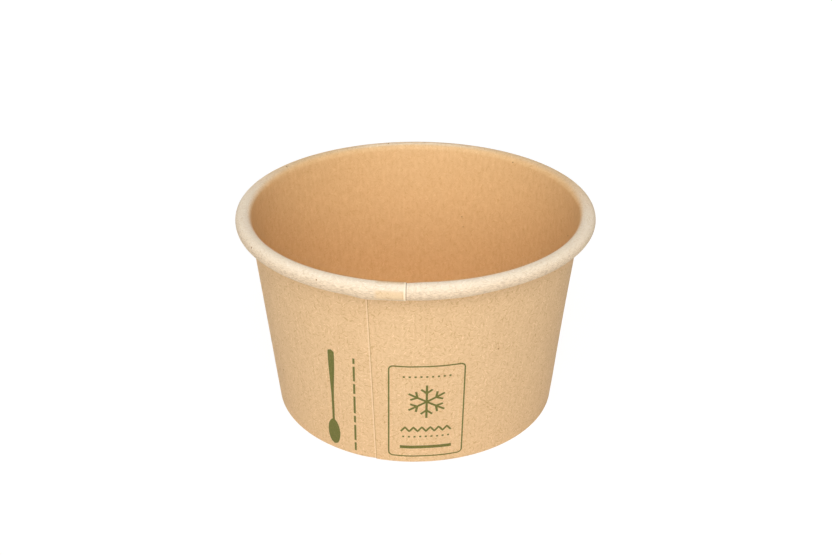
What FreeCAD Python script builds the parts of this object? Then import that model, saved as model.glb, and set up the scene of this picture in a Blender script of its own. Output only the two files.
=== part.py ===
import FreeCAD, Part
import math
import os
import Sketcher
from FreeCAD import Vector

# Paper ice cream tub: a board side wall, lapped, hemmed below and rolled above, that grips a bent disc.
# Millimetres, +Z up. The origin is the centre of the ring that it stands on, and the lap seam faces -Y.

doc = FreeCAD.newDocument("paper_tub")

# Driving dimensions, angles in degrees

SIZES = (
    ("rim_diameter", 90.0, "over the rolled rim, the lid size"),
    ("tub_height", 53.0, "table to the top of the rim"),
    ("base_diameter", 73.3, "outside of the wall at the table"),
    ("board_thickness", 0.40, "side wall board"),
    ("roll_radius", 1.95, "rolled rim, to its outer face"),
    ("roll_gap", 0.10, "between the turns of the roll"),
    ("fold_radius", 0.05, "inside of the hem's two folds"),
    ("hem_height", 6.2, "table to the cut edge of the hem"),
    ("lap_angle", 12.3, "that the two ends of the blank overlap by"),
    ("lap_turn", 14.9, "from the front to the lap's outside edge"),
    ("lap_press", 0.25, "that the seal presses out of the lap's two boards"),
    ("ease_angle", 5.6, "in which a board eases back off the lap"),
    ("disc_thickness", 0.35, "base disc board"),
    ("disc_bend_radius", 0.45, "inside of the disc's turned-down edge"),
    ("hem_clearance", 0.40, "cut edge of the hem to the disc above it"),
    ("skirt_clearance", 0.15, "cut edge of the skirt to the folded lap below it"),
    ("skirt_gap", 0.05, "skirt to the wall, and skirt to the hem"),
)

sheet = doc.addObject("Spreadsheet::Sheet", "sizes")
for row, (alias, value, meaning) in enumerate(SIZES, start=1):
    sheet.set(f"A{row}", alias)
    sheet.set(f"B{row}", str(value))
    sheet.set(f"C{row}", meaning)
    sheet.setAlias(f"B{row}", alias)
doc.recompute()

BOARD = "sizes.board_thickness"
LAP = "(2 * sizes.board_thickness - sizes.lap_press)"
SLOT = "sizes.disc_thickness + 2 * sizes.skirt_gap"
LEAN = "wall_line.Constraints.lean"
AXIS = Vector(0, 0, 1)

# A sketch's own numbers for the points of a shape and for its axes
_, START, END, CENTRE = range(4)
Y_AXIS, X_AXIS = range(-2, 0)
ORIGIN = (X_AXIS, START)

# Drawing. Each sketch is first drawn near its solved shape, from the same cells that then drive it.

half_base = sheet.base_diameter / 2
lap_thickness = 2 * sheet.board_thickness - sheet.lap_press
slot = sheet.disc_thickness + 2 * sheet.skirt_gap
run = sheet.rim_diameter / 2 - sheet.roll_radius - half_base
rise = sheet.tub_height - sheet.roll_radius
lean = math.atan2(run, rise) - math.asin((sheet.roll_radius - sheet.board_thickness) / math.hypot(run, rise))
across = Vector(math.cos(lean), -math.sin(lean), 0)


def wall_point(height, inward=0.0):
    """A point on the wall's food side face, or on a line inward of it, with x the radius and y the height."""
    foot = half_base - (sheet.board_thickness + inward) / math.cos(lean)
    return Vector(foot + height * math.tan(lean), height, 0)


def arc(centre, radius, start, end):
    circle = Part.Circle(centre, Vector(0, 0, 1), radius)
    return Part.ArcOfCircle(circle, math.radians(start), math.radians(end))


def dimension(sketch, dimensions):
    """Adds named dimensions to a sketch, each tied to the sheet by its expression."""
    for name, constraint, expression in dimensions:
        sketch.renameConstraint(sketch.addConstraint(constraint), name)
        sketch.setExpression(f"Constraints.{name}", expression)


def add_foot(sketch):
    """Adds the point at which the wall's outer face meets the table, for dimensions to start from."""
    foot = sketch.addGeometry(Part.Point(Vector(half_base, 0, 0)), True)
    sketch.addConstraint(Sketcher.Constraint("PointOnObject", foot, START, X_AXIS))
    across_table = Sketcher.Constraint("DistanceX", *ORIGIN, foot, START, half_base)
    dimension(sketch, [("foot_radius", across_table, "sizes.base_diameter / 2")])
    return foot


# The wall's slope: its food side face clears the foot by one board and runs on to the roll as a tangent

wall_line = doc.addObject("Sketcher::SketchObject", "wall_line")
wall_line.setExpression("Placement", "placement(vector(0; 0; 0); rotation(0; 0; 90))")
roll_centre = Vector(sheet.rim_diameter / 2 - sheet.roll_radius, rise, 0)
slope = wall_line.addGeometry(Part.LineSegment(wall_point(0), roll_centre - across * sheet.roll_radius))
rim = wall_line.addGeometry(Part.Circle(roll_centre, Vector(0, 0, 1), sheet.roll_radius), True)
foot = add_foot(wall_line)
wall_line.addConstraint(
    [
        Sketcher.Constraint("PointOnObject", slope, START, X_AXIS),
        Sketcher.Constraint("Tangent", slope, END, rim),
    ]
)
from_foot = Sketcher.Constraint("Distance", foot, START, slope, sheet.board_thickness)
roll_across = Sketcher.Constraint("DistanceX", *ORIGIN, rim, CENTRE, roll_centre.x)
roll_up = Sketcher.Constraint("DistanceY", *ORIGIN, rim, CENTRE, roll_centre.y)
dimension(
    wall_line,
    [
        ("board", from_foot, BOARD),
        ("roll", Sketcher.Constraint("Radius", rim, sheet.roll_radius), "sizes.roll_radius"),
        ("roll_across", roll_across, "sizes.rim_diameter / 2 - sizes.roll_radius"),
        ("roll_up", roll_up, "sizes.tub_height - sizes.roll_radius"),
    ],
)
measured = wall_line.addConstraint(Sketcher.Constraint("Angle", slope, math.pi / 2 - lean))
wall_line.setDriving(measured, False)
wall_line.renameConstraint(measured, "lean")

# Side wall. One blank of board, drawn by its food side face in section and thickened outwards.


def board_path(name, azimuth, thickness, cells):
    """The blank's food side face in section, where a thickness of board runs from hem to rolled rim.

    It goes down the hem, across the fold on the table, up the wall, and then over, under and back inside
    itself as the roll, which loses half a thickness and half a gap of radius at each half turn.
    """
    roll = sheet.roll_radius + (thickness - sheet.board_thickness) / 2
    pitch = (thickness + sheet.roll_gap) / 2
    roll_cells = f"(sizes.roll_radius + ({cells} - {BOARD}) / 2)"
    pitch_cells = f"({cells} + sizes.roll_gap) / 2"

    fold = sheet.fold_radius
    tilt = math.degrees(lean)
    in_centre = wall_point(thickness + fold, slot - fold)
    out_centre = wall_point(thickness + fold, fold)
    roll_up = sheet.tub_height - roll
    centre = wall_point(roll_up) + Vector(roll / math.cos(lean), 0, 0)
    outlines = [
        Part.LineSegment(wall_point(sheet.hem_height, slot), in_centre - across * fold),
        arc(in_centre, fold, 180 - tilt, 270),
        Part.LineSegment(in_centre - Vector(0, fold, 0), out_centre - Vector(0, fold, 0)),
        arc(out_centre, fold, -90, -tilt),
        Part.LineSegment(out_centre + across * fold, centre - across * roll),
        arc(centre, roll, 0, 180 - tilt),
        arc(centre + Vector(pitch, 0, 0), roll - pitch, -180, 0),
        arc(centre, roll - 2 * pitch, 90, 180),
    ]

    sketch = doc.addObject("Sketcher::SketchObject", name)
    sketch.setExpression("Placement", f"placement(vector(0; 0; 0); rotation({azimuth}; 0; 90))")
    hem, fold_in, ground, fold_out, wall, over, under, tuck = sketch.addGeometry(outlines, False)
    foot = add_foot(sketch)
    sketch.addConstraint(
        [
            Sketcher.Constraint("Tangent", hem, END, fold_in, START),
            Sketcher.Constraint("Tangent", fold_in, END, ground, START),
            Sketcher.Constraint("Tangent", ground, END, fold_out, START),
            Sketcher.Constraint("Tangent", fold_out, END, wall, START),
            Sketcher.Constraint("Tangent", wall, END, over, END),
            Sketcher.Constraint("Tangent", over, START, under, END),
            Sketcher.Constraint("Tangent", under, START, tuck, END),
            Sketcher.Constraint("Horizontal", ground),
            Sketcher.Constraint("Parallel", hem, wall),
            Sketcher.Constraint("Equal", fold_in, fold_out),
            Sketcher.Constraint("Horizontal", over, CENTRE, under, CENTRE),
            Sketcher.Constraint("Horizontal", under, CENTRE, tuck, CENTRE),
            Sketcher.Constraint("Vertical", tuck, CENTRE, tuck, START),
        ]
    )
    from_foot = Sketcher.Constraint("Distance", foot, START, wall, sheet.board_thickness)
    to_hem = Sketcher.Constraint("DistanceY", *ORIGIN, hem, START, sheet.hem_height)
    to_ground = Sketcher.Constraint("DistanceY", *ORIGIN, ground, START, thickness)
    to_roll = Sketcher.Constraint("DistanceY", *ORIGIN, over, CENTRE, roll_up)
    tuck_radius = Sketcher.Constraint("Radius", tuck, roll - 2 * pitch)
    dimension(
        sketch,
        [
            ("lean", Sketcher.Constraint("Angle", wall, math.pi / 2 - lean), LEAN),
            ("board", from_foot, BOARD),
            ("slot", Sketcher.Constraint("Distance", hem, START, wall, slot), SLOT),
            ("hem_up", to_hem, "sizes.hem_height"),
            ("ground_up", to_ground, cells),
            ("roll_up", to_roll, f"sizes.tub_height - {roll_cells}"),
            ("fold", Sketcher.Constraint("Radius", fold_out, fold), "sizes.fold_radius"),
            ("over", Sketcher.Constraint("Radius", over, roll), roll_cells),
            ("under", Sketcher.Constraint("Radius", under, roll - pitch), f"{roll_cells} - {pitch_cells}"),
            ("tuck", tuck_radius, f"{roll_cells} - 2 * {pitch_cells}"),
        ],
    )
    return sketch


def thickened(name, path, cells, fill=True):
    """The section that a path makes with a thickness, or with no fill the path of its far face."""
    section = doc.addObject("Part::Offset2D", name)
    section.Source = path
    section.Join = "Tangent"
    section.Mode = "Skin"
    section.Fill = fill
    section.setExpression("Value", f"-{cells}")
    return section


def turned(name, section, angle):
    """A section turned about the tub's axis by an angle."""
    solid = doc.addObject("Part::Revolution", name)
    solid.Source = section
    solid.Axis = AXIS
    solid.Solid = True
    solid.setExpression("Angle", angle)
    return solid


def eased(name, sections):
    """The stretch in which one board runs from its place in the lap back to its place alone."""
    ramp = doc.addObject("Part::Loft", name)
    ramp.Sections = sections
    ramp.Solid = True
    ramp.Ruled = True
    return ramp


# The lap. Its left end carries the inner board on round the tub, and its right end the outer board.

LAP_LEFT = "-90 - sizes.lap_turn"
LAP_RIGHT = f"{LAP_LEFT} + sizes.lap_angle"

board = sheet.board_thickness
lap_left_path = board_path("lap_left_path", LAP_LEFT, lap_thickness, LAP)
lap_right_path = board_path("lap_right_path", LAP_RIGHT, lap_thickness, LAP)
left_path = board_path("left_path", f"{LAP_LEFT} - sizes.ease_angle", board, BOARD)
right_path = board_path("right_path", f"{LAP_RIGHT} + sizes.ease_angle", board, BOARD)

lap_section = thickened("lap_section", lap_left_path, LAP)
inner_board = thickened("inner_board", lap_left_path, BOARD)
between_boards = thickened("between_boards", lap_right_path, f"({LAP} - {BOARD})", fill=False)
outer_board = thickened("outer_board", between_boards, BOARD)
left_section = thickened("left_section", left_path, BOARD)
right_section = thickened("right_section", right_path, BOARD)

single_board = turned("single_board", right_section, "360 - sizes.lap_angle - 2 * sizes.ease_angle")
lap = turned("lap", lap_section, "sizes.lap_angle")
ease_left = eased("ease_left", [left_section, inner_board])
ease_right = eased("ease_right", [outer_board, right_section])

side_wall = doc.addObject("Part::MultiFuse", "side_wall")
side_wall.Shapes = [single_board, lap, ease_left, ease_right]
side_wall.Label = "side_wall"

# Base disc. Its edge is bent down into a skirt, which the wall and the hem hold between them.

base_disc = doc.addObject("PartDesign::Body", "base_disc")
base_disc.Label = "base_disc"
upright = next(plane for plane in base_disc.Origin.OriginFeatures if plane.Role == "XZ_Plane")
disc_path = base_disc.newObject("Sketcher::SketchObject", "disc_path")
disc_path.AttachmentSupport = (upright, "")
disc_path.MapMode = "FlatFace"

underside = sheet.hem_height + sheet.hem_clearance
topside = underside + sheet.disc_thickness
skirt_end = lap_thickness + sheet.skirt_clearance
skirt_outside = sheet.skirt_gap
skirt_inside = sheet.skirt_gap + sheet.disc_thickness
outer_corner = wall_point(topside, skirt_outside)
inner_corner = wall_point(underside, skirt_inside)
corners = [
    Vector(0, topside, 0),
    outer_corner,
    wall_point(skirt_end, skirt_outside),
    wall_point(skirt_end, skirt_inside),
    inner_corner,
    Vector(0, underside, 0),
]
edges = [Part.LineSegment(start, end) for start, end in zip(corners, corners[1:] + corners[:1])]
top, outside, cut_end, inside, bottom, middle = disc_path.addGeometry(edges, False)
ring = [top, outside, cut_end, inside, bottom, middle]
for edge, following in zip(ring, ring[1:] + ring[:1]):
    disc_path.addConstraint(Sketcher.Constraint("Coincident", edge, END, following, START))
foot = add_foot(disc_path)
disc_path.addConstraint(
    [
        Sketcher.Constraint("PointOnObject", top, START, Y_AXIS),
        Sketcher.Constraint("PointOnObject", bottom, END, Y_AXIS),
        Sketcher.Constraint("Horizontal", top),
        Sketcher.Constraint("Horizontal", bottom),
        Sketcher.Constraint("Parallel", outside, inside),
        Sketcher.Constraint("Perpendicular", outside, cut_end),
    ]
)
skirt_from_foot = sheet.board_thickness + sheet.skirt_gap
to_skirt = Sketcher.Constraint("Distance", foot, START, outside, skirt_from_foot)
through_skirt = Sketcher.Constraint("Distance", inside, END, outside, sheet.disc_thickness)
to_skirt_end = Sketcher.Constraint("DistanceY", *ORIGIN, outside, END, skirt_end)
to_underside = Sketcher.Constraint("DistanceY", *ORIGIN, bottom, START, underside)
to_topside = Sketcher.Constraint("DistanceY", *ORIGIN, top, START, topside)
dimension(
    disc_path,
    [
        ("lean", Sketcher.Constraint("Angle", inside, math.pi / 2 - lean), LEAN),
        ("skirt_from_foot", to_skirt, f"{BOARD} + sizes.skirt_gap"),
        ("skirt_thickness", through_skirt, "sizes.disc_thickness"),
        ("skirt_end_up", to_skirt_end, f"{LAP} + sizes.skirt_clearance"),
        ("underside_up", to_underside, "sizes.hem_height + sizes.hem_clearance"),
        ("topside_up", to_topside, "sizes.hem_height + sizes.hem_clearance + sizes.disc_thickness"),
    ],
)

blank_disc = base_disc.newObject("PartDesign::Revolution", "blank_disc")
blank_disc.Profile = disc_path
blank_disc.ReferenceAxis = (disc_path, ["V_Axis"])
blank_disc.Angle = 360
doc.recompute()


def edge_at(corner, shape):
    """The name of a shape's round edge nearest to a corner of its section."""
    circles = [
        (math.hypot(edge.Curve.Radius - corner.x, edge.Curve.Center.z - corner.y), f"Edge{number}")
        for number, edge in enumerate(shape.Edges, start=1)
        if isinstance(edge.Curve, Part.Circle)
    ]
    return min(circles)[1]


inner_bend = base_disc.newObject("PartDesign::Fillet", "inner_bend")
inner_bend.Base = (blank_disc, [edge_at(inner_corner, blank_disc.Shape)])
inner_bend.setExpression("Radius", "sizes.disc_bend_radius")
doc.recompute()

outer_bend = base_disc.newObject("PartDesign::Fillet", "outer_bend")
outer_bend.Base = (inner_bend, [edge_at(outer_corner, inner_bend.Shape)])
outer_bend.setExpression("Radius", "sizes.disc_bend_radius + sizes.disc_thickness")
base_disc.Tip = outer_bend
doc.recompute()

# Check and write

for item in doc.Objects:
    if "Invalid" in item.State or "Error" in item.State:
        raise RuntimeError(f"{item.Name} failed: {item.State}")
for sketch in doc.findObjects("Sketcher::SketchObject"):
    if not sketch.FullyConstrained:
        raise RuntimeError(f"{sketch.Name} isn't fully constrained")

os.makedirs("parts", exist_ok=True)
for piece in (side_wall, base_disc):
    if piece.Shape.isNull() or not piece.Shape.isValid() or len(piece.Shape.Solids) != 1:
        raise RuntimeError(f"{piece.Label} isn't one valid solid")
    piece.Shape.exportStep(f"parts/{piece.Label}.step")
    print(f"{piece.Label}: {piece.Shape.Volume:.1f} mm3, {len(piece.Shape.Faces)} faces")
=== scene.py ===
import math

import bpy
import numpy as np
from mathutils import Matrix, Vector


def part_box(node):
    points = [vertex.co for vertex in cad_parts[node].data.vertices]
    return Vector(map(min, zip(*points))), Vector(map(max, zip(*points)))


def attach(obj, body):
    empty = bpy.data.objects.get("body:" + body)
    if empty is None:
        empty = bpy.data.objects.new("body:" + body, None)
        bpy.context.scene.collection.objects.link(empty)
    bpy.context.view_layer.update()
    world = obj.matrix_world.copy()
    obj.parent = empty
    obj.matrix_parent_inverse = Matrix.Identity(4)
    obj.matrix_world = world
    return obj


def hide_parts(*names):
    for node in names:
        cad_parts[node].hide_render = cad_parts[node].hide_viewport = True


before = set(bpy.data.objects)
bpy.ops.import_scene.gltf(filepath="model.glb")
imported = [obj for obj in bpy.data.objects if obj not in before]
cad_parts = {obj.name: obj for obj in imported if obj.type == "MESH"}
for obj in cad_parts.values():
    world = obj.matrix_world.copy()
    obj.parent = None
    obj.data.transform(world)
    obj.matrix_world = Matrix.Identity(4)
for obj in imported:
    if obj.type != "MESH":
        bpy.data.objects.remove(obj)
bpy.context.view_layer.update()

# Sizes in millimetres and degrees. The outline comes from the frame, and the board is that of the solids.

MM = 0.001
_, wall_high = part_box("side_wall")
disc_low, disc_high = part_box("base_disc")
RIM_RADIUS = wall_high.x / MM
TUB_HEIGHT = wall_high.z / MM
BASE_RADIUS = 36.65
BOARD = 0.40
ROLL_RADIUS = 1.95
ROLL_GAP = 0.10
FOLD_RADIUS = 0.05
HEM_HEIGHT = 6.2

# The blank's left end stands LAP_TURN left of the front, and lies on the right end for LAP_ANGLE. The seal
# presses LAP_PRESS out of the two boards, and the wall eases back to one board's path over EASE_ANGLE.
LAP_ANGLE = 12.3
LAP_TURN = 14.9
LAP_PRESS = 0.25
EASE_ANGLE = 5.6

DISC_BOARD = 0.35
DISC_BEND = 0.45
DISC_TOP = disc_high.z / MM
SKIRT_END = disc_low.z / MM
SKIRT_GAP = 0.05
DISC_SAG = 0.22
DISC_WAVE = 0.05
PLEAT_DEPTH = 0.018
PLEAT_REACH = 2.5

BLANK_ANGLE = 360 + LAP_ANGLE
LAP_THICKNESS = 2 * BOARD - LAP_PRESS
SLOT = DISC_BOARD + 2 * SKIRT_GAP

# Along the blank, halfway between the foot and the rim
MM_PER_DEGREE = math.radians((RIM_RADIUS + BASE_RADIUS) / 2)

run = RIM_RADIUS - ROLL_RADIUS - BASE_RADIUS
rise = TUB_HEIGHT - ROLL_RADIUS
LEAN = math.atan2(run, rise) - math.asin((ROLL_RADIUS - BOARD) / math.hypot(run, rise))
ACROSS = np.array([math.cos(LEAN), -math.sin(LEAN)])
DOWN = np.array([0.0, -1.0])

WALL_COLUMNS = 480
DISC_COLUMNS = 240
INNER_RING = 1.5
SHARP_ANGLE = 40

# A pressed tub's small faults. A wave is (depth, waves to a turn, start), and a hump (depth, middle, width)
# in degrees from the front. Depths are in mm on the wall and the rim, and shares of its height on the roll.
WALL_WAVES = ((0.04, 2, 0.6), (0.03, 3, 2.1), (0.02, 7, 0.0))
WALL_HUMPS = ((0.09, -90, 45), (-0.18, 95, 35))
WALL_INSET = 0.05
RIM_PRESSED_IN = ((0.18, -85, 28),)
RIM_DIP = ((0.20, 0, 65),)
ROLL_WAVES = ((0.006, 9, 1.0), (0.004, 17, 0.0))
ROLL_HUMPS = ((0.085, -13.8, 3.4), (0.03, -24, 7), (0.02, -6, 6))
ROLL_DEEPER = 0.10
ROLL_SHALLOWER = 0.05
DEEP_FROM, DEEP_TO = -95, 28


def smooth(x):
    """Eases from 0 to 1 as x goes from 0 to 1."""
    x = np.clip(x, 0, 1)
    return x * x * (3 - 2 * x)


def hump(angle, middle, width):
    """A soft bump in the tub's round, 1 at its middle and next to 0 two widths away."""
    away = (angle - middle + 180) % 360 - 180
    return math.exp(-((away / width) ** 2))


def humps(angle, sizes):
    """The depth of several soft bumps together."""
    return sum(depth * hump(angle, middle, width) for depth, middle, width in sizes)


def waves(angle, sizes):
    """The depth of several waves round the tub together."""
    return sum(depth * math.sin(count * math.radians(angle) + start) for depth, count, start in sizes)


# Sections, as (radius, height) points with the direction in which the board's thickness lies at each


def wall_radius(height, inward=0.0):
    """Where the wall's food side face is at a height, or a line inward of it."""
    return BASE_RADIUS - (BOARD + inward) / math.cos(LEAN) + height * math.tan(LEAN)


def line(start, end, count, facing):
    """Points from a start towards an end, with the way that the board's thickness lies there."""
    steps = np.linspace(0, 1, count, endpoint=False)[:, None]
    return start + (end - start) * steps, np.tile(facing, (count, 1))


def bend(centre, radius, start, end, count, facing, closed=False):
    """An arc from one angle to another, with the board outside it (facing 1) or inside it (facing -1)."""
    angles = np.radians(np.linspace(start, end, count, endpoint=closed))
    spokes = np.column_stack([np.cos(angles), np.sin(angles)])
    return centre + radius * spokes, facing * spokes


def board_path(thickness):
    """The wall's food side face for a thickness of board: hem, fold, wall, and a roll of 1.25 turns."""
    roll = ROLL_RADIUS + (thickness - BOARD) / 2
    pitch = (thickness + ROLL_GAP) / 2
    tilt = math.degrees(LEAN)
    low = thickness + FOLD_RADIUS
    inner = np.array([wall_radius(low, SLOT - FOLD_RADIUS), low])
    outer = np.array([wall_radius(low, FOLD_RADIUS), low])
    roll_height = TUB_HEIGHT - roll
    centre = np.array([wall_radius(roll_height) + roll / math.cos(LEAN), roll_height])
    shifted = centre + np.array([pitch, 0])
    hem_top = np.array([wall_radius(HEM_HEIGHT, SLOT), HEM_HEIGHT])
    stretches = {
        "hem": line(hem_top, inner - ACROSS * FOLD_RADIUS, 7, -ACROSS),
        "inner fold": bend(inner, FOLD_RADIUS, 180 - tilt, 270, 5, 1),
        "ground": line(inner + DOWN * FOLD_RADIUS, outer + DOWN * FOLD_RADIUS, 2, DOWN),
        "outer fold": bend(outer, FOLD_RADIUS, -90, -tilt, 6, 1),
        "wall": line(outer + ACROSS * FOLD_RADIUS, centre - ACROSS * roll, 28, ACROSS),
        "over": bend(centre, roll, 180 - tilt, 0, 22, -1),
        "under": bend(shifted, roll - pitch, 0, -180, 17, -1),
        "tuck": bend(centre, roll - 2 * pitch, 180, 90, 8, -1, closed=True),
    }
    points = np.vstack([points for points, _ in stretches.values()])
    facings = np.vstack([facings for _, facings in stretches.values()])
    ends = np.cumsum([len(points) for points, _ in stretches.values()])
    return points, facings, dict(zip(stretches, ends))


SINGLE, SINGLE_FACING, ENDS = board_path(BOARD)
LAPPED, LAPPED_FACING, _ = board_path(LAP_THICKNESS)
PATH_LENGTHS = np.concatenate([[0], np.cumsum(np.hypot(*np.diff(SINGLE, axis=0).T))])
ROLL_LENGTH = PATH_LENGTHS[ENDS["wall"]]


def lap_share(along):
    """How far a place lies in the lap, from 0 to 1, by its angle along the blank from the left end."""
    from_left = smooth((LAP_ANGLE + EASE_ANGLE - along) / EASE_ANGLE)
    from_right = smooth((along - 360 + EASE_ANGLE) / EASE_ANGLE)
    return max(from_left, from_right)


def board_faces(along):
    """The board's food side and print side in section at an angle along the blank.

    The blank's left end is the lap's outer board, and its right end, a full turn on, is the inner one. The
    seal presses each board thinner towards its cut edge, so that the lap is as thick all over.
    """
    share = lap_share(along)
    if along < 180:
        near, far = BOARD - LAP_PRESS * min(along / LAP_ANGLE, 1), LAP_THICKNESS
    else:
        near, far = 0, BOARD - LAP_PRESS * max((along - 360) / LAP_ANGLE, 0)
    food_side = (1 - share) * SINGLE + share * (LAPPED + LAPPED_FACING * near)
    print_side = (1 - share) * (SINGLE + SINGLE_FACING * BOARD) + share * (LAPPED + LAPPED_FACING * far)
    angle = (along - LAP_TURN + 180) % 360 - 180
    return uneven(food_side, angle), uneven(print_side, angle)


def uneven(points, angle):
    """Section points with a pressed tub's small faults, at an angle from the front, -180 to 180 degrees.

    The wall is not quite round between its hem and rim, and the rim is pressed in on the left. The roll dips
    a little at the front, and is deeper at the front left and next to the lap than it is on the right.
    """
    radius, height = points[:, 0].copy(), points[:, 1].copy()
    above_hem = (height - HEM_HEIGHT) / (TUB_HEIGHT - HEM_HEIGHT)
    bulge = waves(angle, WALL_WAVES) + humps(angle, WALL_HUMPS) - WALL_INSET
    radius += bulge * np.sin(np.pi * np.clip(above_hem, 0, 1))
    radius -= humps(angle, RIM_PRESSED_IN) * smooth((above_hem - 0.88) / 0.06)

    front_left = smooth((angle - DEEP_FROM) / 30) * smooth((DEEP_TO - angle) / 16)
    deeper = waves(angle, ROLL_WAVES) + humps(angle, ROLL_HUMPS) + ROLL_DEEPER * front_left - ROLL_SHALLOWER
    rolled = slice(ENDS["wall"], None)
    height[rolled] = TUB_HEIGHT - (TUB_HEIGHT - height[rolled]) * (1 + deeper)
    height -= humps(angle, RIM_DIP) * smooth(above_hem * 1.04)
    return np.column_stack([radius, height])


def stand(section, angle):
    """Section points stood up at an angle from the front, in metres."""
    azimuth = math.radians(angle - 90)
    radius, height = section[:, 0] * MM, section[:, 1] * MM
    return np.column_stack([radius * math.cos(azimuth), radius * math.sin(azimuth), height])


# Pieces


def make_piece(name, points, faces, material):
    """A mesh that rides on the tub, smooth but for edges sharper than SHARP_ANGLE."""
    mesh = bpy.data.meshes.new(name)
    mesh.from_pydata(points, [], faces)
    mesh.polygons.foreach_set("use_smooth", [True] * len(mesh.polygons))
    mesh.set_sharp_from_angle(angle=math.radians(SHARP_ANGLE))
    mesh.materials.append(material)
    piece = bpy.data.objects.new(name, mesh)
    bpy.context.scene.collection.objects.link(piece)
    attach(piece, "root")
    return piece


# The UV map's two charts, as shares of its square: the food side's starts at CHART_FOOT, the print side's is
# CHART_STEP above it, and the cut edges lie in thin strips beside them.
CHART_WIDTH = 0.96
CHART_HEIGHT = 0.45
CHART_FOOT = 0.02
CHART_STEP = 0.5


def lay_flat(mesh, squares):
    """A UV map of the blank laid flat."""
    layer = mesh.uv_layers.new(name="OFBake")
    layer.data.foreach_set("uv", np.array(squares, np.float32).ravel())


def lay_on_board(mesh, places):
    """Keeps each point's place on the flat board in mm, and 0 for the food side or 1 for the print side."""
    place = mesh.attributes.new("board_mm", "FLOAT_VECTOR", "POINT")
    place.data.foreach_set("vector", np.array(places, np.float32).ravel())


def make_wall(material):
    """The blank, wrapped and lapped: one closed sheet, a full turn and the lap's width long."""
    count = len(SINGLE)
    alongs = np.linspace(0, BLANK_ANGLE, WALL_COLUMNS + 1)
    points, places = [], []
    for along in alongs:
        food_side, print_side = board_faces(along)
        points += [stand(food_side, along - LAP_TURN), stand(print_side, along - LAP_TURN)]
        around = np.full(count, along * MM_PER_DEGREE)
        places += [np.column_stack([around, PATH_LENGTHS, np.full(count, side)]) for side in (0.0, 1.0)]

    def food(column, row):
        return 2 * count * column + row

    def outside(column, row):
        return food(column, row) + count

    share = PATH_LENGTHS / PATH_LENGTHS[-1]
    across = CHART_WIDTH * alongs / BLANK_ANGLE
    up = CHART_FOOT + CHART_HEIGHT * share
    faces, squares = [], []

    def face(corners, square):
        faces.append(corners)
        squares.append(square)

    last = count - 1
    for c in range(WALL_COLUMNS):
        u0, u1 = across[c], across[c + 1]
        for r in range(last):
            v0, v1 = up[r], up[r + 1]
            low = [(u0, v0), (u0, v1), (u1, v1), (u1, v0)]
            v0, v1 = v0 + CHART_STEP, v1 + CHART_STEP
            high = [(u0, v0), (u1, v0), (u1, v1), (u0, v1)]
            face([food(c, r), food(c, r + 1), food(c + 1, r + 1), food(c + 1, r)], low)
            face([outside(c, r), outside(c + 1, r), outside(c + 1, r + 1), outside(c, r + 1)], high)
        hem_strip = [(u0, 0), (u1, 0), (u1, 0.01), (u0, 0.01)]
        tuck_strip = [(u1, 0.49), (u0, 0.49), (u0, 0.5), (u1, 0.5)]
        face([food(c, 0), food(c + 1, 0), outside(c + 1, 0), outside(c, 0)], hem_strip)
        face([food(c + 1, last), food(c, last), outside(c, last), outside(c + 1, last)], tuck_strip)
    end = WALL_COLUMNS
    for r in range(last):
        v0, v1 = share[r], share[r + 1]
        left_strip = [(0.97, v1), (0.97, v0), (0.98, v0), (0.98, v1)]
        right_strip = [(0.99, v0), (0.99, v1), (1.0, v1), (1.0, v0)]
        face([food(0, r + 1), food(0, r), outside(0, r), outside(0, r + 1)], left_strip)
        face([food(end, r), food(end, r + 1), outside(end, r + 1), outside(end, r)], right_strip)

    wall = make_piece("wrapped_wall", np.vstack(points), faces, material)
    lay_flat(wall.data, squares)
    lay_on_board(wall.data, np.vstack(places))
    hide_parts("side_wall")


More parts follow.
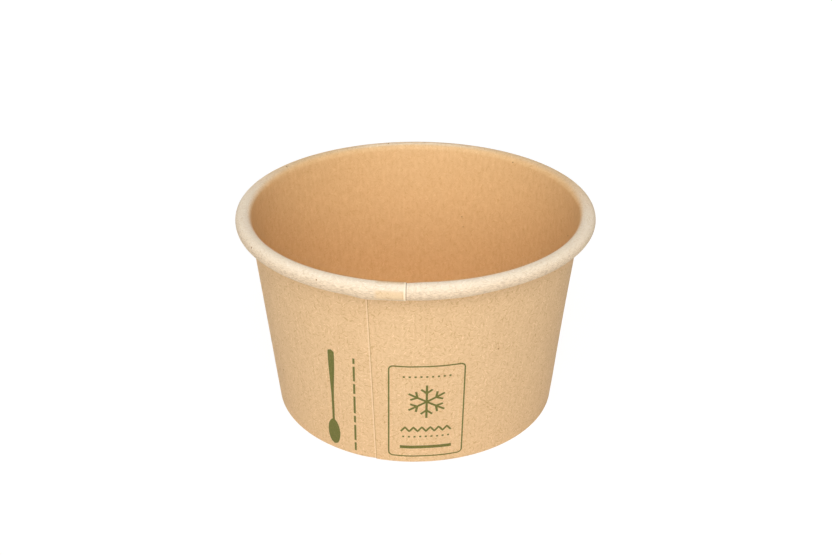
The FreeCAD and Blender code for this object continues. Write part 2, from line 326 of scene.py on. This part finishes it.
def make_disc(material):
    """The base board, with its edge bent down as a skirt and gathered there into fine pleats."""
    outside_bend = DISC_BEND + DISC_BOARD
    underside = DISC_TOP - DISC_BOARD
    tilt = math.degrees(LEAN)
    bend_height = DISC_TOP - outside_bend
    middle = np.array([wall_radius(bend_height, SKIRT_GAP) - outside_bend / math.cos(LEAN), bend_height])
    flat_edge = middle[0]
    skirt_foot = np.array([wall_radius(SKIRT_END, SKIRT_GAP), SKIRT_END])
    skirt_inside = skirt_foot - ACROSS * DISC_BOARD
    along_skirt = middle + ACROSS * outside_bend
    section = np.vstack(
        [
            line(np.array([INNER_RING, DISC_TOP]), np.array([flat_edge, DISC_TOP]), 20, DOWN)[0],
            bend(middle, outside_bend, 90, -tilt, 9, -1)[0],
            line(along_skirt, skirt_foot, 6, ACROSS)[0],
            line(skirt_foot, skirt_inside, 1, ACROSS)[0],
            line(skirt_inside, middle + ACROSS * DISC_BEND, 6, ACROSS)[0],
            bend(middle, DISC_BEND, -tilt, 90, 7, -1)[0],
            line(np.array([flat_edge, underside]), np.array([INNER_RING, underside]), 20, DOWN)[0],
            [[INNER_RING, underside]],
        ]
    )
    rows = len(section)
    points = []
    for column in range(DISC_COLUMNS):
        angle = 360 * column / DISC_COLUMNS
        turn = math.radians(angle)
        radius, height = section.T
        near_edge = smooth((radius - flat_edge + PLEAT_REACH) / PLEAT_REACH)
        pleat = PLEAT_DEPTH * near_edge * (math.sin(47 * turn) + 0.6 * math.sin(31 * turn + 1.3))
        outward = (radius / flat_edge).clip(0, 1) ** 2
        wave = DISC_WAVE * math.sin(2 * turn + 0.8) * outward * (1 - near_edge)
        sag = wave - DISC_SAG * (1 - outward)
        shaped = np.column_stack([radius - abs(pleat), height + sag * (height > underside - 0.01)])
        points.append(stand(shaped, angle))
    points = np.vstack(points)
    top_middle, under_middle = len(points), len(points) + 1
    centre_top = points[::rows][:, 2].mean()
    centre_under = points[rows - 1 :: rows][:, 2].mean()
    points = np.vstack([points, [[0, 0, centre_top], [0, 0, centre_under]]])
    faces = []
    for column in range(DISC_COLUMNS):
        here, after = column * rows, (column + 1) % DISC_COLUMNS * rows
        faces += [[here + r, here + r + 1, after + r + 1, after + r] for r in range(rows - 1)]
        faces += [[top_middle, here, after], [under_middle, after + rows - 1, here + rows - 1]]
    disc = make_piece("base_board", points, faces, material)
    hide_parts("base_disc")


# Print. Marks are drawn in mm on the flat blank, x to the right and y up from the table, and then wrapped.

PRINT_TURN = 8.5
FRAME_LINE = 0.36
PEN_LINE = 0.55
FINE_LINE = 0.5
BAR_LINE = 0.9
INK_STEP = 0.4
INK_LIFT = 0.02
APEX_DISTANCE = BASE_RADIUS / math.sin(LEAN)


def wrap(x, y):
    """A point of the flat blank on the wrapped wall, in metres.

    The wall is part of a cone, so flat it is part of a ring, with the cone's apex as its middle.
    """
    slant = math.hypot(x, APEX_DISTANCE + y)
    angle = PRINT_TURN + math.degrees(math.atan2(x, APEX_DISTANCE + y) / math.sin(LEAN))
    height = (slant - APEX_DISTANCE) * math.cos(LEAN)
    along = (angle + LAP_TURN) % 360
    _, print_side = board_faces(along)
    wall_rows = slice(ENDS["outer fold"], ENDS["wall"])
    radius = np.interp(height, print_side[wall_rows, 1], print_side[wall_rows, 0]) + INK_LIFT
    return stand(np.array([[radius, height]]), angle)[0]


def grid(first, second, columns):
    """A patch of ink between two rows of points on the flat blank."""
    rows = []
    for one, other in zip(first, second):
        steps = np.linspace(0, 1, columns + 1)
        rows.append([(one[0] + (other[0] - one[0]) * s, one[1] + (other[1] - one[1]) * s) for s in steps])
    return rows


def stroke(points, width, closed=False):
    """A pen line along points, stepped finely enough to follow the wall's round."""
    track = [np.array(p, float) for p in points]
    if closed:
        track.append(track[0])
    fine = [track[0]]
    for start, end in zip(track, track[1:]):
        steps = max(1, math.ceil(np.hypot(*(end - start)) / INK_STEP))
        fine += [start + (end - start) * k / steps for k in range(1, steps + 1)]
    fine = np.array(fine)
    ahead = np.diff(fine, axis=0)
    ahead /= np.hypot(*ahead.T)[:, None]
    if closed:
        corner = np.vstack([ahead[-1:] + ahead[:1], ahead[:-1] + ahead[1:], ahead[-1:] + ahead[:1]])
    else:
        corner = np.vstack([ahead[:1], ahead[:-1] + ahead[1:], ahead[-1:]])
    corner /= np.hypot(*corner.T)[:, None]
    aside = np.column_stack([-corner[:, 1], corner[:, 0]]) * width / 2
    return grid(fine - aside, fine + aside, max(1, math.ceil(width / INK_STEP)))


def arc_points(x, y, radius, start, end, count):
    """Points of an arc round a centre, from one angle to another."""
    angles = np.radians(np.linspace(start, end, count))
    return [(x + radius * math.cos(a), y + radius * math.sin(a)) for a in angles]


def rounded_frame(x0, y0, x1, y1, radius):
    """The outline of a rectangle with round corners."""
    corners = ((x1, y1, 0), (x0, y1, 90), (x0, y0, 180), (x1, y0, 270))
    points = []
    for x, y, turn in corners:
        centre_x = x - radius if x == x1 else x + radius
        centre_y = y - radius if y == y1 else y + radius
        points += arc_points(centre_x, centre_y, radius, turn, turn + 90, 6)
    return points


def snowflake(x, y, size, width):
    """A plain six-armed flake, the usual sign for frozen food, with one pair of branches to an arm."""
    branch_place, branch_length, branch_angle = 0.52 * size, 0.36 * size, 50
    strokes = []
    for arm in range(6):
        turn = math.radians(60 * arm + 90)
        ahead = np.array([math.cos(turn), math.sin(turn)])
        strokes.append(stroke([(x, y), (x, y) + ahead * size], width))
        for way in (-1, 1):
            side = turn + way * math.radians(branch_angle)
            root = np.array([x, y]) + ahead * branch_place
            tip = root + np.array([math.cos(side), math.sin(side)]) * branch_length
            strokes.append(stroke([root, tip], width))
    return strokes


def zigzag(x, y, length, depth, teeth, width):
    """A zigzag pen line round a middle."""
    steps = np.linspace(0, 1, 2 * teeth + 1)
    return stroke([(x + length * (s - 0.5), y + depth * (k % 2 - 0.5)) for k, s in enumerate(steps)], width)


def dots(x, y, count, pitch, size):
    """A row of short square dots."""
    starts = [x + pitch * (k - (count - 1) / 2) - size / 2 for k in range(count)]
    return [stroke([(start, y), (start + size, y)], size) for start in starts]


def spoon(x, low, high):
    """A plain spoon, standing on its bowl, with a handle that widens to a round end."""
    bowl_half_width, bowl_middle = 1.75, 0.135
    neck_half_width, handle_widening = 0.34, 0.55
    handle_from, round_end = 0.2, 0.025
    rows = []
    for s in np.linspace(0, 1, 60):
        half = bowl_half_width * math.sqrt(max(0.0, 1 - ((s - bowl_middle) / bowl_middle) ** 2))
        if s > handle_from:
            rounding = math.sqrt(max(0.0, 1 - max(0.0, (s - 1 + round_end) / round_end) ** 2))
            half = max(half, (neck_half_width + handle_widening * smooth((s - 0.45) / 0.5)) * rounding)
        height = low + (high - low) * s
        rows.append(((x - half, height), (x + half, height)))
    return grid([left for left, _ in rows], [right for _, right in rows], 8)


def make_print(material):
    """Ink on the wall: a frame with a snowflake right of the lap, a spoon and a dashed line left of it."""
    left, right, low, high = -11.9, 5.9, 2.1, 29.4
    middle = (left + right) / 2
    patches = [stroke(rounded_frame(left, low, right, high, 1.1), FRAME_LINE, closed=True)]
    patches += snowflake(middle, 19.0, 4.9, PEN_LINE)
    for row_height in (26.4, 8.3):
        patches += dots(middle, row_height, 9, 1.35, FINE_LINE)
    patches.append(zigzag(middle, 10.6, 12.0, 1.3, 6, FINE_LINE))
    bar_half, bar_height = 6.2, 5.0
    patches.append(stroke([(middle - bar_half, bar_height), (middle + bar_half, bar_height)], BAR_LINE))

    patches.append(spoon(-26.4, 0.7, 30.2))
    dash_x, dash_foot = -20.4, 1.0
    dashes = ((0, 2.6), (3.3, 4.9), (9.0, 2.1), (11.9, 5.2), (17.9, 3.0), (21.7, 4.4), (26.9, 1.6))
    for start, length in dashes:
        foot = dash_foot + start
        patches.append(stroke([(dash_x, foot), (dash_x, foot + length)], PEN_LINE))

    points, places, faces = [], [], []
    for rows in patches:
        base, width = len(points), len(rows[0])
        points += [wrap(x, y) for row in rows for x, y in row]
        places += [(x, y, 1.0) for row in rows for x, y in row]
        for r in range(len(rows) - 1):
            for c in range(width - 1):
                corner = base + r * width + c
                faces.append([corner, corner + 1, corner + width + 1, corner + width])
    ink = make_piece("wall_print", points, faces, material)
    lay_on_board(ink.data, places)


# Materials


def linear(code):
    """An sRGB hex colour as the linear RGBA that a shader socket takes."""
    parts = [int(code[i : i + 2], 16) / 255 for i in (0, 2, 4)]
    return tuple(c / 12.92 if c <= 0.04045 else ((c + 0.055) / 1.055) ** 2.4 for c in parts) + (1.0,)


def add(tree, kind, settings=None, inputs=None):
    """Adds a node with its settings. An input takes a value, a hex colour, a node or one of its outputs."""
    node = tree.nodes.new(kind)
    for name, value in (settings or {}).items():
        setattr(node, name, value)
    for name, value in (inputs or {}).items():
        if isinstance(value, str):
            value = linear(value)
        if isinstance(value, bpy.types.Node):
            value = next(socket for socket in value.outputs if socket.enabled)
        if isinstance(value, bpy.types.NodeSocket):
            tree.links.new(value, node.inputs[name])
        else:
            node.inputs[name].default_value = value
    return node


MATH, VECTOR, RANGE = "ShaderNodeMath", "ShaderNodeVectorMath", "ShaderNodeMapRange"
NOISE, MIX, SEPARATE = "ShaderNodeTexNoise", "ShaderNodeMix", "ShaderNodeSeparateXYZ"
ADD = {"operation": "ADD"}
SUBTRACT = {"operation": "SUBTRACT"}
MULTIPLY = {"operation": "MULTIPLY"}
DIVIDE = {"operation": "DIVIDE"}
MULTIPLY_ADD = {"operation": "MULTIPLY_ADD"}
MAXIMUM = {"operation": "MAXIMUM"}
ABSOLUTE = {"operation": "ABSOLUTE"}
COMPARE = {"operation": "COMPARE"}
SCALE = {"operation": "SCALE"}
LENGTH = {"operation": "LENGTH"}
SOFT_STEP = {"interpolation_type": "SMOOTHSTEP"}

# The inputs of a colour mix, which gives the first colour at a share of 0 and the second at 1
COLOUR_MIX = {"data_type": "RGBA"}
SHARE, FIRST, SECOND = 0, 6, 7
WHITE = "FFFFFF"


def new_material(name):
    """A material with only its output node."""
    material = bpy.data.materials.new(name)
    material.use_nodes = True
    material.node_tree.nodes.clear()
    return material, add(material.node_tree, "ShaderNodeOutputMaterial")


# Unbleached kraft board. Its look comes from its fibres: cloudy where they clump, single ones on top.

# Pattern sizes are in mm. Real fibres are 1 to 3 mm long and 0.03 mm wide, and the fuzz between them is as
# fine. Both are drawn coarser, at FIBRE_MM and GRAIN_MM, so that they show. The rim's scuffs, at STREAK_MM,
# are about 0.1 mm wide on a real tub, and are drawn a little coarser too. UPRIGHT stretches clouds and clumps
# a little up the wall.

CLOUD_MM = 3.2
CLUMP_MM = 1.1
GRAIN_MM = 0.38
FIBRE_CELL_MM = 1.15
FIBRE_MM = (1.35, 0.17)
FIBRE_SHIFTS = (3.7, 41.3, 77.9)
CURL_MM = 0.9
SPECK_MM = 6.0
SPECK_EDGE = (0.05, 0.02)
STREAK_MM = (1.0, 0.14)
FELT_MM = (1.2, 2.2)
JOINT_MM = 0.17
EDGE_MM = 0.2
TONE_START = 0.125
UPRIGHT = (1.0, 1.0, 0.55)
KRAFT_IOR = 1.47

# Where the wall's look changes: in degrees along the blank, and in mm of board past the start of the roll.

# The roll is painted tan as shade at the back and painted darker below its crest, and a line along the far
# crest is left pale as a painted highlight.
BEHIND = (110, 262)
FAR_BACK = (172, 218)
TAN_START = 363.9
HIGHLIGHT_CREST = (1.7, 2.4)
BELOW_CREST = (5.0, 8.5)
CREST_PATCH = (0.0, 3.1)
LOW_PATCH = (5.0, 7.0)
ROLL_EDGE = (-0.4, 1.4)


def all_of(tree, *masks):
    """Where several patterns meet."""
    meeting = masks[0]
    for mask in masks[1:]:
        meeting = add(tree, MATH, MULTIPLY, {0: meeting, 1: mask})
    return meeting


def lone_fibres(tree, sheet, shift):
    """Short curly fibres, one to each cell of the flat sheet, from 0 between them to 1 on them."""
    moved = add(tree, VECTOR, ADD, {0: sheet, 1: (shift, shift, 0.0)})
    curl = add(tree, NOISE, None, {"Vector": moved, "Scale": 1 / CURL_MM, "Detail": 0.0}).outputs["Color"]
    moved = add(tree, VECTOR, MULTIPLY_ADD, {0: curl, 1: (CURL_MM,) * 3, 2: moved})
    cells = {"Vector": moved, "Scale": 1 / FIBRE_CELL_MM}
    cell = add(tree, "ShaderNodeTexVoronoi", {"voronoi_dimensions": "2D"}, cells)
    away = add(tree, VECTOR, SUBTRACT, {0: moved, 1: cell.outputs["Position"]})
    chance, strength, _ = add(tree, SEPARATE, None, {"Vector": cell.outputs["Color"]}).outputs
    turn = add(tree, MATH, MULTIPLY, {0: chance, 1: math.pi})
    in_sheet = {"rotation_type": "Z_AXIS"}
    turned = add(tree, "ShaderNodeVectorRotate", in_sheet, {"Vector": away, "Angle": turn})
    lengthwise, across, _ = add(tree, SEPARATE, None, {"Vector": turned}).outputs
    masks = [strength]
    for distance, reach in ((lengthwise, FIBRE_MM[0] / 2), (across, FIBRE_MM[1] / 2)):
        distance = add(tree, MATH, ABSOLUTE, {0: distance})
        limits = {"Value": distance, "From Min": 1.3 * reach, "From Max": 0.5 * reach}
        masks.append(add(tree, RANGE, SOFT_STEP, limits))
    return all_of(tree, *masks)


def kraft_pattern(tree, sheet):
    """The fibre pattern: tone from dark 0 to light 1, brown specks from 0 to 1, and the surface's height."""
    place = add(tree, "ShaderNodeTexCoord").outputs["Object"]
    place = add(tree, VECTOR, SCALE, {0: place, "Scale": 1 / MM})
    upright = add(tree, VECTOR, MULTIPLY, {0: place, 1: UPRIGHT})
    cloud = add(tree, NOISE, None, {"Vector": upright, "Scale": 1 / CLOUD_MM, "Detail": 3.0})
    clump = add(tree, NOISE, None, {"Vector": upright, "Scale": 1 / CLUMP_MM, "Detail": 2.0})
    grain = add(tree, NOISE, None, {"Vector": place, "Scale": 1 / GRAIN_MM, "Detail": 2.0})
    light_fibres, dark_fibres, more_fibres = [lone_fibres(tree, sheet, shift) for shift in FIBRE_SHIFTS]

    tone = TONE_START
    brown_fibres = add(tree, MATH, ADD, {0: dark_fibres, 1: more_fibres})
    layers = ((cloud, 0.23), (clump, 0.08), (grain, 0.55), (light_fibres, 0.44), (brown_fibres, -0.48))
    for layer, share in layers:
        tone = add(tree, MATH, MULTIPLY_ADD, {0: layer, 1: share, 2: tone})
    tone = add(tree, "ShaderNodeClamp", None, {"Value": tone})

    spots = add(tree, "ShaderNodeTexVoronoi", None, {"Vector": place, "Scale": 1 / SPECK_MM})
    near = {"Value": spots.outputs["Distance"], "From Min": SPECK_EDGE[0], "From Max": SPECK_EDGE[1]}
    specks = add(tree, RANGE, SOFT_STEP, near)
    height = add(tree, MATH, MULTIPLY_ADD, {0: light_fibres, 1: 0.35, 2: grain})
    return tone, specks, height


def finish_board(tree, output, colour, height, roughness, relief_mm):
    """Paper's own shader: matt, with a faint broad sheen, and the fibres' relief."""
    bump = {"Strength": 1.0, "Distance": relief_mm * MM, "Height": height}
    relief = add(tree, "ShaderNodeBump", None, bump)
    board = {"Base Color": colour, "Roughness": roughness, "IOR": KRAFT_IOR, "Normal": relief}
    surface = add(tree, "ShaderNodeBsdfPrincipled", None, board)
    tree.links.new(surface.outputs[0], output.inputs["Surface"])


def stretch(tree, place, start, end, softness):
    """A pattern that is 1 where a place lies between two, and falls off softly past them."""
    rising = {"Value": place, "From Min": start - softness, "From Max": start + softness}
    falling = {"Value": place, "From Min": end + softness, "From Max": end - softness}
    return all_of(tree, *[add(tree, RANGE, SOFT_STEP, limits) for limits in (rising, falling)])


def kraft_wall():
    """Unbleached kraft cup stock, calendered flat, wrapped and rolled.

    The flat board is warm brown and cloudy. Where it is rolled, its stretched skin opens to pale loose
    fibre, streaked along the rim and scuffed below its crest, where the pale is also painted darker as shade.
    At the back the roll is painted tan as shade, but for a painted highlight left pale along the far crest.
    At the lap, the seal leaves a patch of it smooth and tan, and on the rim the inner board's cut edge gets a
    painted shadow beside it and a pale edge that is partly a painted highlight.
    """
    material, output = new_material("kraft_cup_stock_wrapped_and_rolled")
    tree = material.node_tree
    sheet = add(tree, "ShaderNodeAttribute", {"attribute_name": "board_mm"}).outputs["Vector"]
    around, along, print_side = add(tree, SEPARATE, None, {"Vector": sheet}).outputs
    degrees = add(tree, MATH, DIVIDE, {0: around, 1: MM_PER_DEGREE})
    past_roll = add(tree, MATH, SUBTRACT, {0: along, 1: ROLL_LENGTH})
    food_side = add(tree, MATH, SUBTRACT, {0: 1.0, 1: print_side})
    tone, specks, height = kraft_pattern(tree, sheet)

    # The flat board, mottled on its food side by the felt that it was made on
    felt = add(tree, VECTOR, DIVIDE, {0: sheet, 1: (*FELT_MM, 1.0)})
    felt = add(tree, NOISE, None, {"Vector": felt, "Scale": 1.0, "Detail": 3.0})
    mottled = add(tree, MATH, MULTIPLY_ADD, {0: felt, 1: 0.55, 2: -0.025})
    mottled = add(tree, MATH, MULTIPLY_ADD, {0: tone, 1: 0.5, 2: mottled})
    outside = add(tree, MIX, COLOUR_MIX, {SHARE: tone, FIRST: "C29E70", SECOND: "ECCEA8"})
    inside = add(tree, MIX, COLOUR_MIX, {SHARE: mottled, FIRST: "D6A96E", SECOND: "F9D8A8"})
    colour = add(tree, MIX, COLOUR_MIX, {SHARE: print_side, FIRST: inside, SECOND: outside})

    # The roll's loose fibre, scuffed most below the crest, with painted shade: darker below the crest, and
    # tan at the back but for a painted highlight left pale along the far crest
    streaks = add(tree, VECTOR, DIVIDE, {0: sheet, 1: (*STREAK_MM, 1.0)})
    streaks = add(tree, NOISE, None, {"Vector": streaks, "Scale": 1.0, "Detail": 2.0})
    scuffs = add(tree, RANGE, SOFT_STEP, {"Value": streaks, "From Min": 0.46, "From Max": 0.66})
    below_crest = stretch(tree, past_roll, *BELOW_CREST, 1.2)
    scuffed = add(tree, MATH, MULTIPLY_ADD, {0: below_crest, 1: 0.44, 2: 0.12})
    behind = stretch(tree, degrees, *BEHIND, 22)
    far_back = stretch(tree, degrees, *FAR_BACK, 12)
    # Painted highlight: a line along the far crest is left pale where the back is painted tan
    painted_highlight_crest = all_of(tree, far_back, stretch(tree, past_roll, *HIGHLIGHT_CREST, 0.6))
    back_shade_share = add(tree, MATH, SUBTRACT, {0: behind, 1: painted_highlight_crest})
    loose = add(tree, MIX, COLOUR_MIX, {SHARE: tone, FIRST: "E8D6BC", SECOND: "FFF5E6"})
    # Painted shade: the same pale fibre, darker and greyer below the crest
    pale_in_painted_shade = add(tree, MIX, COLOUR_MIX, {SHARE: tone, FIRST: "D2BEA3", SECOND: "EEDCC5"})
    # Painted shade: the roll's back, drawn tan
    back = add(tree, MIX, COLOUR_MIX, {SHARE: tone, FIRST: "D2B28A", SECOND: "F1D5AE"})
    pale = add(tree, MIX, COLOUR_MIX, {SHARE: below_crest, FIRST: loose, SECOND: pale_in_painted_shade})
    pale = add(tree, MIX, COLOUR_MIX, {SHARE: back_shade_share, FIRST: pale, SECOND: back})
    scuffed = all_of(tree, scuffed, scuffs)
    rolled = add(tree, MIX, COLOUR_MIX, {SHARE: scuffed, FIRST: pale, SECOND: "9C8066"})

    # The patches at the lap that the seal pressed smooth
    on_lap = stretch(tree, around, TAN_START * MM_PER_DEGREE, BLANK_ANGLE * MM_PER_DEGREE + 1, 0.5)
    low_patch = stretch(tree, past_roll, *LOW_PATCH, 0.4)
    crest_patch = stretch(tree, past_roll, *CREST_PATCH, 0.6)
    patches = all_of(tree, on_lap, add(tree, MATH, MAXIMUM, {0: low_patch, 1: crest_patch}))
    pressed = add(tree, MIX, COLOUR_MIX, {SHARE: tone, FIRST: "CDB08A", SECOND: "EDD6B4"})
    rolled = add(tree, MIX, COLOUR_MIX, {SHARE: patches, FIRST: rolled, SECOND: pressed})

    # Where the flat board gives way to the roll, along a ragged line that lies lower at the back
    edge = add(tree, MATH, MULTIPLY_ADD, {0: streaks, 1: -1.2, 2: past_roll})
    edge = add(tree, MATH, MULTIPLY_ADD, {0: behind, 1: -0.6, 2: edge})
    limits = {"Value": edge, "From Min": ROLL_EDGE[0], "From Max": ROLL_EDGE[1]}
    on_roll = all_of(tree, add(tree, RANGE, SOFT_STEP, limits), food_side)
    colour = add(tree, MIX, COLOUR_MIX, {SHARE: on_roll, FIRST: colour, SECOND: rolled})
    colour = add(tree, MIX, COLOUR_MIX, {SHARE: specks, FIRST: colour, SECOND: "996B40"})

    # Each cut edge shows as a dark joint on the board that it lies on, beside its own pale torn fibres. On
    # the rim's food side, that dark joint is a painted shadow of the step, and the pale edge is partly a
    # painted highlight.
    inner_end = BLANK_ANGLE * MM_PER_DEGREE
    under_inner_end = LAP_ANGLE * MM_PER_DEGREE
    beside_outer_end = 360 * MM_PER_DEGREE
    edges = (
        # On the rim: a painted shadow beside the inner board's cut edge, and that edge's pale line, partly a
        # painted highlight
        (food_side, under_inner_end, JOINT_MM, "84603C", 0.7),
        (food_side, inner_end - EDGE_MM, EDGE_MM, "FFF6E6", 0.5),
        (print_side, beside_outer_end - EDGE_MM, EDGE_MM, "F6E2C4", 0.35),
        (print_side, 0.0, JOINT_MM, "99703F", 0.6),
    )
    for face, place, half_width, edge_colour, strength in edges:
        at_edge = add(tree, MATH, COMPARE, {0: around, 1: place, 2: half_width})
        share = add(tree, MATH, MULTIPLY, {0: all_of(tree, at_edge, face), 1: strength})
        colour = add(tree, MIX, COLOUR_MIX, {SHARE: share, FIRST: colour, SECOND: edge_colour})
    satin = add(tree, MATH, MULTIPLY_ADD, {0: food_side, 1: -0.26, 2: 0.80})
    matt = add(tree, MATH, MULTIPLY_ADD, {0: on_roll, 1: 0.25, 2: satin})
    finish_board(tree, output, colour, height, matt, 0.02)
    return material


def kraft_disc():
    """Kraft base board, die cut and drawn down at its edge. A thin waterproof film gives it a soft shine."""
    material, output = new_material("kraft_base_board_film_coated")
    tree = material.node_tree
    place = add(tree, "ShaderNodeTexCoord").outputs["Object"]
    sheet = add(tree, VECTOR, SCALE, {0: place, "Scale": 1 / MM})
    tone, specks, height = kraft_pattern(tree, sheet)
    board = add(tree, MIX, COLOUR_MIX, {SHARE: tone, FIRST: "CFA067", SECOND: "F0C692"})
    colour = add(tree, MIX, COLOUR_MIX, {SHARE: specks, FIRST: board, SECOND: "8A5E36"})
    finish_board(tree, output, colour, height, 0.55, 0.01)
    return material


def green_ink():
    """Water-based ink, printed from a raised plate: matt, and thinner where fibres stand through it."""
    material, output = new_material("moss_green_plate_printed_ink")
    tree = material.node_tree
    sheet = add(tree, "ShaderNodeAttribute", {"attribute_name": "board_mm"}).outputs["Vector"]
    tone, _, height = kraft_pattern(tree, sheet)
    thin = add(tree, RANGE, SOFT_STEP, {"Value": tone, "From Min": 0.35, "From Max": 1.0, "To Max": 0.35})
    colour = add(tree, MIX, COLOUR_MIX, {SHARE: thin, FIRST: "62652B", SECOND: "998C56"})
    finish_board(tree, output, colour, height, 0.75, 0.02)
    return material


# Stage. Places are in metres, and lamps are square softboxes.

FLOOR_WIDTH = 6
SOFTBOX_SIZE = 0.6
SOFTBOXES = (
    ("low_softbox", (0.0, -1.1, 0.20), 3.2),
    ("front_softbox", (0.0, -1.0, 0.55), 2.8),
    ("high_softbox", (0.0, -0.7, 0.95), 5.5),
    ("left_softbox", (-0.95, -0.55, 0.50), 1.4),
    ("right_softbox", (0.95, -0.55, 0.50), 0.5),
    ("back_softbox", (0.0, 0.8, 0.8), 0.8),
    ("low_back_softbox", (0.0, 1.1, 0.15), 1.4),
)
CAMERA_PLACE = Vector((0.20, -240.1, 157.6)) * MM
CAMERA_AIM = Vector((0.20, 0.0, 31.60)) * MM
TUB_MIDDLE = Vector((0.0, 0.0, 0.03))


def white_where_seen(tree, share):
    """How far a surface turns white to the camera, and to the rays of reflections and of clear things."""
    rays = add(tree, "ShaderNodeLightPath")
    seen = rays.outputs["Is Camera Ray"]
    for ray in ("Is Glossy Ray", "Is Transmission Ray"):
        seen = add(tree, MATH, MAXIMUM, {0: seen, 1: rays.outputs[ray]})
    return add(tree, MATH, MULTIPLY, {0: seen, 1: share})


def make_stage():
    """A pale floor that keeps the tub's shadow, under soft studio light, against white."""
    floor_material, output = new_material("pale_studio_floor")
    tree = floor_material.node_tree
    shaded = add(tree, "ShaderNodeBsdfPrincipled", None, {"Base Color": "F4F1EC", "Roughness": 0.9})
    white = add(tree, "ShaderNodeEmission", None, {"Color": WHITE, "Strength": 1.08})
    place = add(tree, "ShaderNodeTexCoord").outputs["Object"]
    away = add(tree, VECTOR, LENGTH, {0: place})
    fade = {"Value": away, "From Min": 0.1, "From Max": 0.5, "To Min": 0.86, "To Max": 1.0}
    seen = white_where_seen(tree, add(tree, RANGE, SOFT_STEP, fade))
    both = add(tree, "ShaderNodeMixShader", None, {0: seen, 1: shaded, 2: white})
    tree.links.new(both.outputs[0], output.inputs["Surface"])
    far = FLOOR_WIDTH / 2
    mesh = bpy.data.meshes.new("studio_floor")
    corners = [(x, y, 0) for x, y in ((-far, -far), (far, -far), (far, far), (-far, far))]
    mesh.from_pydata(corners, [], [(0, 1, 2, 3)])
    mesh.materials.append(floor_material)
    floor = bpy.data.objects.new("studio_floor", mesh)
    bpy.context.scene.collection.objects.link(floor)

    world = bpy.data.worlds.new("soft_studio")
    world.use_nodes = True
    bpy.context.scene.world = world
    tree = world.node_tree
    tree.nodes.clear()
    soft = add(tree, "ShaderNodeBackground", None, {"Color": "FFFAF3", "Strength": 0.25})
    white = add(tree, "ShaderNodeBackground", None, {"Color": WHITE, "Strength": 1.0})
    seen = white_where_seen(tree, 1.0)
    both = add(tree, "ShaderNodeMixShader", None, {0: seen, 1: soft, 2: white})
    sky = add(tree, "ShaderNodeOutputWorld")
    tree.links.new(both.outputs[0], sky.inputs["Surface"])


def make_softbox(name, place, power):
    """A lamp that faces the tub's middle."""
    light = bpy.data.lights.new(name, "AREA")
    light.shape = "SQUARE"
    light.size = SOFTBOX_SIZE
    light.energy = power
    light.color = linear("FFFBF4")[:3]
    lamp = bpy.data.objects.new(name, light)
    lamp.location = place
    aim = TUB_MIDDLE - Vector(place)
    lamp.rotation_euler = aim.to_track_quat("-Z", "Y").to_euler()
    bpy.context.scene.collection.objects.link(lamp)


def make_camera():
    """The photograph's view: 27.7 degrees down on the tub from the lap's side, 271 mm away."""
    camera = bpy.data.objects.new("camera", bpy.data.cameras.new("camera"))
    camera.data.sensor_width = 36.0
    camera.data.lens = 45.0
    camera.data.clip_start = 0.01
    camera.location = CAMERA_PLACE
    aim = CAMERA_AIM - CAMERA_PLACE
    camera.rotation_euler = aim.to_track_quat("-Z", "Y").to_euler()
    bpy.context.scene.collection.objects.link(camera)
    bpy.context.scene.camera = camera


make_camera()
make_stage()
for name, place, power in SOFTBOXES:
    make_softbox(name, place, power)
make_wall(kraft_wall())
make_disc(kraft_disc())
make_print(green_ink())

bpy.context.scene.view_settings.view_transform = "Standard"
